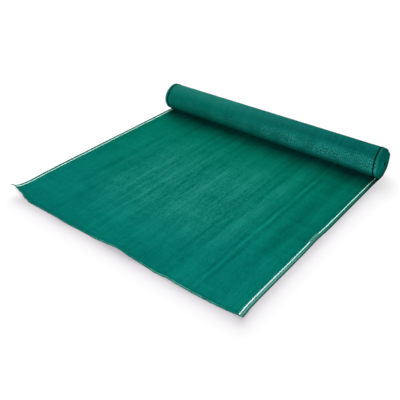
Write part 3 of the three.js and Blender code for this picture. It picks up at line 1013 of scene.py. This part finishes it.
    def glinting(self, colour, front):
        """The colour with the painted glints and the painted shade of small hollows at the roll's
        front, and where the glints are
        """
        flecks = self.uneven("flecks")
        share = self.times(front, self.change(self.uneven("glinting"), *GLINT_PATCHES))
        glint = self.change(flecks, *GLINTS)
        colour = self.mix(self.times(glint, share, GLINT_SHARE), colour, GLINT_GREEN)
        hollow_shade = self.times(self.change(flecks, *HOLLOW_SHADES), share)
        return self.scaled(colour, self.line(hollow_shade, -HOLLOW_SHADE_DEPTH, 1.0)), glint

    def cut_edge(self, colour):
        """The colour with the cut end's painted highlight line, the darker strip at its very edge,
        and painted crease shade behind the line
        """
        broken = self.change(self.uneven("cut line", self.third), *CUT_BREAKS)
        crest_highlight = self.times(self.within(self.x, *CREST_HIGHLIGHT_REACH), CREST_HIGHLIGHT_SHARE)
        right = self.times(self.change(self.x, *CUT_RIGHT), self.change(self.x, *CUT_RIGHT_END))
        line = self.within(self.third, *CUT_HIGHLIGHT_REACH)
        line = self.times(line, broken, self.math("MAXIMUM", right, crest_highlight))
        colour = self.mix(line, colour, CUT_HIGHLIGHT_GREEN)
        first = self.change(self.third, *CUT_FIRST)
        dark = self.math("MAXIMUM", first, self.change(self.third, *CUT_CREASE_SHADE))
        dark = self.times(dark, self.change(self.third, *CUT_CREASE_SHADE_END))
        return self.scaled(colour, self.line(dark, -CUT_DARKNESS, 1.0))


def make_cloth_material(name):
    g = ClothGraph(name)
    height = g.knit()
    middle = g.middle()
    shade = g.shade(height, middle)
    # level carries the painted shadow of the white thread and the painted shade of the stitch line's
    # groove
    pale, level = g.selvedge()
    # tone is painted light on the roll's outer side, and front the share of its painted front
    # highlight
    tone, front = g.painted_roll_light()
    # the inner turns' level has painted shade on their back part and inside the eye
    level = g.blend(g.change(g.s, *INNER_TURNS), level, g.turns_level())
    colour = g.scaled(g.green(shade), g.times(level, 2.0, tone))
    # the pale green is painted sheen
    colour = g.mix(g.painted_sheen(shade, middle, front), colour, SHEEN_GREEN)
    colour = g.mix(pale, colour, SELVEDGE_PALE)
    # painted glints and painted shade of small hollows at the roll's front
    colour, glint = g.glinting(colour, front)
    # the cut end's painted highlight line and painted crease shade
    colour = g.cut_edge(colour)
    return g.finish(colour, g.line(glint, -GLINT_SHINE, CLOTH_ROUGHNESS), height, KNIT_DEPTH)


def make_yarn_material(name, near, far, change, relief):
    """A twisted yarn, uneven from place to place"""
    g = Graph(name)
    x, s, tag = g.place()
    twist = g.wave(g.add(g.times(s, TWIST_ALONG), g.times(x, TWIST_ACROSS)))
    spots = g.noise(x, g.add(s, tag), *YARN_SPOTS)
    shade = g.add(g.line(g.add(spots, -0.5), change, 1.0), g.times(twist, TWIST_SHARE))
    colour = g.mix(g.change(s, 0.0, FAR_FROM), (*near, 1), (*far, 1))
    return g.finish(g.scaled(colour, shade), YARN_ROUGHNESS, twist, relief)


def make_camera():
    yaw, pitch, roll = (math.radians(angle) for angle in CAMERA_ANGLES)
    data = bpy.data.cameras.new("camera")
    data.lens = CAMERA_LENS
    data.sensor_width = CAMERA_SENSOR
    data.clip_end = 100
    camera = add_object("camera", data)
    turn = (
        Matrix.Rotation(yaw, 4, "Z")
        @ Matrix.Rotation(math.pi / 2 - pitch, 4, "X")
        @ Matrix.Rotation(roll, 4, "Z")
    )
    camera.matrix_world = Matrix.Translation(CAMERA_PLACE) @ turn
    bpy.context.scene.camera = camera


def add_sun(name, heading, elevation, strength, softness):
    """A distant soft light. Heading is where it comes from, 0 for +Y and 90 for +X."""
    data = bpy.data.lights.new(name, "SUN")
    data.energy = strength
    data.angle = math.radians(softness)
    light = add_object(name, data)
    way = math.radians(heading)
    rise = math.radians(elevation)
    level = math.cos(rise)
    source = Vector((math.sin(way) * level, math.cos(way) * level, math.sin(rise)))
    light.rotation_mode = "QUATERNION"
    light.rotation_quaternion = source.to_track_quat("Z", "Y")
    light.location = source * LIGHT_DISTANCE


def make_floor():
    """A pale floor that glows a little, so that its shadows stay light"""
    half = FLOOR_HALF
    corners = ((-half, -half), (half, -half), (half, half), (-half, half))
    mesh = bpy.data.meshes.new("floor")
    mesh.from_pydata([(x, y, FLOOR_LEVEL) for x, y in corners], [], [(0, 1, 2, 3)])
    g = Graph("floor")
    position = g.node("ShaderNodeNewGeometry").outputs["Position"]
    x, y, _ = g.node("ShaderNodeSeparateXYZ", {0: position}).outputs
    shade = 0.0
    for depth, across, along in FLOOR_SHADES:
        shade = g.add(shade, g.times(g.within(x, *across), g.within(y, *along), depth))
    tint = g.mix(shade, (1, 1, 1, 1), SHADE_COLOUR)
    glow = {"Emission Color": tint, "Emission Strength": FLOOR_GLOW}
    mesh.materials.append(g.finish(g.scaled(tint, FLOOR_GREY), FLOOR_ROUGHNESS, settings=glow))
    floor = add_object("floor", mesh)


def make_backdrop():
    """A pale dome round the stage, which is seen but gives no light and throws no shadow"""
    around, upwards = BACKDROP_RINGS
    turn, rise = np.meshgrid(
        np.linspace(0, 2 * np.pi, around), np.linspace(BACKDROP_LOWEST, np.pi / 2, upwards),
        indexing="ij",
    )
    level = BACKDROP_RADIUS * np.cos(rise)
    height = BACKDROP_RADIUS * np.sin(rise)
    points = np.stack([level * np.cos(turn), level * np.sin(turn), height], -1)
    place = np.arange(turn.size).reshape(turn.shape)
    faces = quads(place[:-1, :-1], place[:-1, 1:], place[1:, 1:], place[1:, :-1])
    mesh = bpy.data.meshes.new("backdrop")
    mesh.from_pydata(points.reshape(-1, 3).tolist(), [], faces.tolist())
    g = Graph("backdrop")
    glow = {"Emission Color": (1, 1, 1, 1), "Emission Strength": BACKDROP_GLOW}
    mesh.materials.append(g.finish((0, 0, 0, 1), 1.0, settings=glow))
    backdrop = add_object("backdrop", mesh)
    backdrop.visible_diffuse = False
    backdrop.visible_glossy = False
    backdrop.visible_shadow = False


def make_studio():
    scene = bpy.context.scene
    scene.view_settings.view_transform = "Standard"
    world = bpy.data.worlds.new("studio")
    world.use_nodes = True
    background = world.node_tree.nodes["Background"]
    background.inputs["Color"].default_value = (1, 1, 1, 1)
    background.inputs["Strength"].default_value = WORLD_STRENGTH
    scene.world = world
    for name, light in LIGHTS.items():
        add_sun(name, *light)
    make_floor()
    make_backdrop()


make_camera()
cloth = make_cloth_material("knitted_cloth")
yarns = {name: make_yarn_material(name, *looks) for name, looks in YARNS.items()}
outer = make_outer(cloth)
inner = make_inner(cloth)
sewn = [make_chain(-1, yarns["worn_white_yarn"]), make_chain(1, yarns["white_yarn"])]
sewn += [make_backstitch(side, yarns["dark_stitching"]) for side in (-1, 1)]
sewn += [make_stubs(yarns["cut_yarn"]), make_tail(yarns["dark_stitching"])]
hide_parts("screen_cloth")
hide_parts("screen_cloth")
make_studio()
